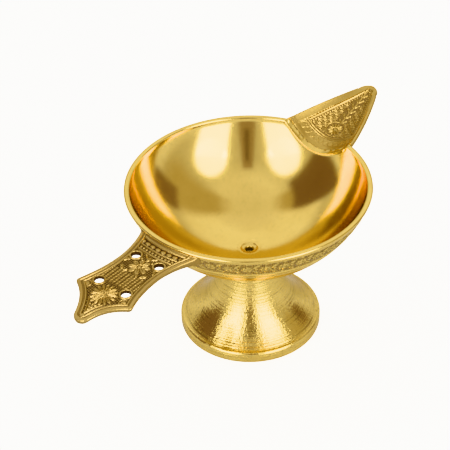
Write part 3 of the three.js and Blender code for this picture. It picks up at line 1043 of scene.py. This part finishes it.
def floor_material():
    """Matt paper, which the camera sees brighter than the lamp does."""
    material = bpy.data.materials.new("studio_paper")
    material.use_nodes = True
    nodes = Nodes(material.node_tree)
    out = nodes.add("OutputMaterial")
    shader = nodes.add("BsdfPrincipled")
    bright = nodes.add("Emission")
    bright.inputs["Color"].default_value = (1.0, 1.0, 1.0, 1)
    strength = nodes.math("MULTIPLY", nodes.add("LightPath").outputs["Is Camera Ray"], FLOOR_EXPOSURE)
    nodes.link(strength, bright.inputs["Strength"])
    both = nodes.add("AddShader")
    nodes.link(shader.outputs[0], both.inputs[0])
    nodes.link(bright.outputs[0], both.inputs[1])
    nodes.link(both.outputs[0], out.inputs[0])
    position = nodes.add("NewGeometry").outputs["Position"]
    clouds = nodes.noise(position, 4, 3, 0.5)
    nodes.link(nodes.mix(clouds, PAPER_DARK, PAPER_LIGHT), shader.inputs["Base Color"])
    shader.inputs["Roughness"].default_value = 0.9
    shader.inputs["Specular IOR Level"].default_value = 0.1
    shader.inputs["Emission Color"].default_value = (1.0, 0.995, 0.98, 1)
    shader.inputs["Emission Strength"].default_value = FLOOR_GLOW
    return material


# ---- studio ----
CAMERA_AZIMUTH = 309.8  # degrees, with 0 looking along +Y
CAMERA_ELEVATION = 38.92
CAMERA_DISTANCE = 500.0
CAMERA_LENS = 114.71
CAMERA_ROLL = -1.03
CAMERA_TARGET_Z = 27.0
CAMERA_PAN = math.degrees(math.atan(24.45 / 1433.9))  # the lamp stands left of and below the middle
CAMERA_TILT = math.degrees(math.atan(32.16 / 1433.9))
FLOOR_GLOW = 0.24
FLOOR_EXPOSURE = 2.0  # added to the floor for the camera only
FLOOR_SIDES = 64
PAPER_DARK = (0.33, 0.33, 0.327)
PAPER_LIGHT = (0.36, 0.36, 0.356)
BACKDROP_GLOW = 3.0
# Each softbox leans over the lamp, from its foot to its head, in metres: to the side, forward, up
SOFTBOX_FOOT = Vector((0.67, -1.16, 0.28))
SOFTBOX_HEAD = Vector((0.67, -0.345, 0.90))
SOFTBOX_WIDTH = 0.72
# (shape, start and end as shares of the way from foot to head, radiance)
SOFTBOX_PARTS = [("RECTANGLE", 0.0, 0.68, 6.5), ("ELLIPSE", 0.36, 1.0, 6.0)]
SOFTBOX_COLOUR = (1.0, 1.0, 0.93)

# The room's light from the ground up, as shares of the way from straight down to straight up
ROOM_LIGHT = [
    (0.5, (1.05, 1.04, 1.0)),
    (0.545, (0.95, 0.93, 0.88)),
    (0.58, (0.72, 0.69, 0.63)),
    (0.76, (0.72, 0.69, 0.63)),
    (0.86, (1.0, 0.97, 0.9)),
    (1.0, (0.90, 0.86, 0.78)),
]
# Soft-edged areas of the room that the metal mirrors, in degrees: azimuth from the camera's side
# and elevation, half-width and half-height, softness, colour
ROOM_PATCHES = [
    ((180.0, 46.0), (75.0, 16.0), 5.0, (1.12, 1.09, 1.0)),
    ((100.0, 44.0), (22.0, 27.0), 7.0, (0.62, 0.53, 0.38)),
    ((-99.0, 52.0), (18.0, 14.0), 6.0, (0.62, 0.53, 0.38)),
    ((0.0, 32.0), (8.0, 24.0), 2.0, (0.42, 0.33, 0.29)),
    ((0.5, 34.0), (2.4, 15.0), 1.6, (0.20, 0.14, 0.13)),
    ((-93.0, 32.0), (22.0, 21.0), 2.5, (0.25, 0.17, 0.17)),
    ((111.0, 18.0), (11.0, 12.0), 2.5, (0.30, 0.21, 0.19)),
]


def away(azimuth, elevation):
    """Unit vector from the lamp towards that azimuth, with 0 looking along +Y."""
    a, e = math.radians(azimuth), math.radians(elevation)
    return Vector((math.sin(a) * math.cos(e), -math.cos(a) * math.cos(e), math.sin(e)))


def make_camera():
    """A camera that looks down at the lamp, turned a little off its middle."""
    data = bpy.data.cameras.new("studio_camera")
    data.lens = CAMERA_LENS
    data.sensor_width = 36.0
    data.clip_start, data.clip_end = 0.02, 20.0
    camera = bpy.data.objects.new("studio_camera", data)
    back = away(CAMERA_AZIMUTH, CAMERA_ELEVATION)
    target = AXIS + Vector((0, 0, CAMERA_TARGET_Z * MM))
    turn = back.to_track_quat("Z", "Y").to_matrix()
    turn = turn @ Matrix.Rotation(math.radians(CAMERA_ROLL), 3, "Z")
    turn = turn @ Matrix.Rotation(math.radians(CAMERA_PAN), 3, "Y")
    turn = turn @ Matrix.Rotation(math.radians(CAMERA_TILT), 3, "X")
    camera.matrix_world = Matrix.Translation(target + back * CAMERA_DISTANCE * MM) @ turn.to_4x4()
    bpy.context.scene.collection.objects.link(camera)
    bpy.context.scene.camera = camera


def make_floor():
    """A round sheet of paper, much wider than the camera sees."""
    rings = np.r_[np.linspace(0.02, 0.3, 8), np.linspace(0.5, 6.0, 12)]
    turn = np.linspace(0, 2 * np.pi, FLOOR_SIDES, endpoint=False)
    r = rings[:, None]
    points = np.stack([r * np.cos(turn), r * np.sin(turn), 0 * r * turn], 2).reshape(-1, 3)
    faces = grid_faces(len(rings), FLOOR_SIDES, False, True).tolist() + [list(range(FLOOR_SIDES))]
    mesh = bpy.data.meshes.new("studio_floor")
    mesh.from_pydata((points + np.array([AXIS.x, AXIS.y, foot_low.z])).tolist(), [], faces)
    mesh.materials.append(floor_material())
    floor = bpy.data.objects.new("studio_floor", mesh)
    bpy.context.scene.collection.objects.link(floor)


def add_softbox(name, side):
    """A softbox beside the camera: a straight panel with a hotter, rounded head."""
    lean = SOFTBOX_HEAD - SOFTBOX_FOOT
    outward = Vector((0, -lean.z, lean.y))
    turn = Matrix.Rotation(math.radians(CAMERA_AZIMUTH), 4, "Z")
    for shape, start, end, radiance in SOFTBOX_PARTS:
        light = bpy.data.lights.new(name, "AREA")
        light.shape = shape
        light.size, light.size_y = SOFTBOX_WIDTH, lean.length * (end - start)
        area = light.size * light.size_y * (math.pi / 4 if shape == "ELLIPSE" else 1)
        light.energy = radiance * math.pi * area
        light.color = SOFTBOX_COLOUR
        middle = SOFTBOX_FOOT + lean * (start + end) / 2
        place = Vector((side * middle.x, middle.y, middle.z))
        holder = bpy.data.objects.new(name, light)
        back = outward.to_track_quat("Z", "Y").to_matrix().to_4x4()
        holder.matrix_world = Matrix.Translation(AXIS) @ turn @ Matrix.Translation(place) @ back
        holder.visible_camera = False
        bpy.context.scene.collection.objects.link(holder)


def patch(nodes, azimuth, elevation, where, spread, soft):
    """1 inside a soft-edged window of the surroundings, in degrees of azimuth and elevation."""
    turn = nodes.math("SUBTRACT", azimuth, where[0])
    wrapped = nodes.math("WRAP", turn, 180)
    wrapped.node.inputs[2].default_value = -180
    turn = nodes.math("ABSOLUTE", wrapped)
    rise = nodes.math("ABSOLUTE", nodes.math("SUBTRACT", elevation, where[1]))
    side = nodes.spread(turn, 1.0, 0.0, spread[0] - soft, spread[0] + soft)
    level = nodes.spread(rise, 1.0, 0.0, spread[1] - soft, spread[1] + soft)
    return nodes.math("MULTIPLY", side, level)


def room_light(nodes):
    """The light that reaches the lamp from each direction of the room."""
    direction = nodes.add("TexCoord").outputs["Generated"]
    turned = nodes.add("VectorRotate", rotation_type="Z_AXIS")
    nodes.link(direction, turned.inputs["Vector"])
    turned.inputs["Angle"].default_value = -math.radians(CAMERA_AZIMUTH)
    parts = nodes.add("SeparateXYZ")
    nodes.link(turned.outputs[0], parts.inputs[0])
    to_degrees = 180 / math.pi
    azimuth = nodes.math("ARCTAN2", parts.outputs[0], nodes.math("MULTIPLY", parts.outputs[1], -1.0))
    azimuth = nodes.math("MULTIPLY", azimuth, to_degrees)
    elevation = nodes.math("MULTIPLY", nodes.math("ARCSINE", parts.outputs[2]), to_degrees)
    lift = nodes.spread(elevation, 0.0, 1.0, -90, 90)
    room = nodes.ramp(lift, ROOM_LIGHT)
    for where, spread, soft, shade in ROOM_PATCHES:
        inside = patch(nodes, azimuth, elevation, where, spread, soft)
        room = nodes.mix(inside, room, shade)
    return room


def make_world():
    """The room that lights the lamp, and a plain backdrop that the camera sees instead."""
    world = bpy.data.worlds.new("studio_room")
    bpy.context.scene.world = world
    world.use_nodes = True
    nodes = Nodes(world.node_tree)
    out = nodes.add("OutputWorld")
    room = room_light(nodes)
    seen = nodes.add("Background")
    seen.inputs["Color"].default_value = (1.0, 1.0, 0.99, 1)
    seen.inputs["Strength"].default_value = BACKDROP_GLOW
    lit = nodes.add("Background")
    nodes.link(room, lit.inputs["Color"])
    lit.inputs["Strength"].default_value = 1.0
    choose = nodes.add("MixShader")
    nodes.link(nodes.add("LightPath").outputs["Is Camera Ray"], choose.inputs[0])
    nodes.link(lit.outputs[0], choose.inputs[1])
    nodes.link(seen.outputs[0], choose.inputs[2])
    nodes.link(choose.outputs[0], out.inputs[0])


def make_studio():
    bpy.context.scene.view_settings.view_transform = "Khronos PBR Neutral"
    make_camera()
    make_floor()
    make_world()
    add_softbox("softbox_right", 1)
    add_softbox("softbox_left", -1)


def make_lamp():
    bowl = dict(gloss=0.12, patina=BOWL_PATINA, turning=0.03, ripple=0.08)
    foot = dict(gloss=0.12, turning=1.0, pitch=1700, ripple=0.1, chatter=0.7)
    rivet = dict(gloss=0.2, patina=RIVET_PATINA_AND_SHADE, turning=0.1)
    washer = dict(gloss=0.38, grain=0.6)
    spout = dict(gloss=0.28, grain=0.8, lacquer=CAST_LACQUER, matte=0.2)
    handle = dict(gloss=0.3, grain=0.8, lacquer=CAST_LACQUER)
    make_bowl(brass("bowl_polish", **POLISHED, **bowl))
    make_foot(brass("foot_polish", **POLISHED, **foot))
    make_rivet(brass("rivet_polish", **POLISHED, **rivet))
    make_washer(brass("washer_finish", **WASHER_TONES, **washer))
    make_spout(brass("spout_cast", **SPOUT_TONES, **spout))
    make_handle(brass("handle_cast", **HANDLE_TONES, **handle))


make_studio()
make_lamp()
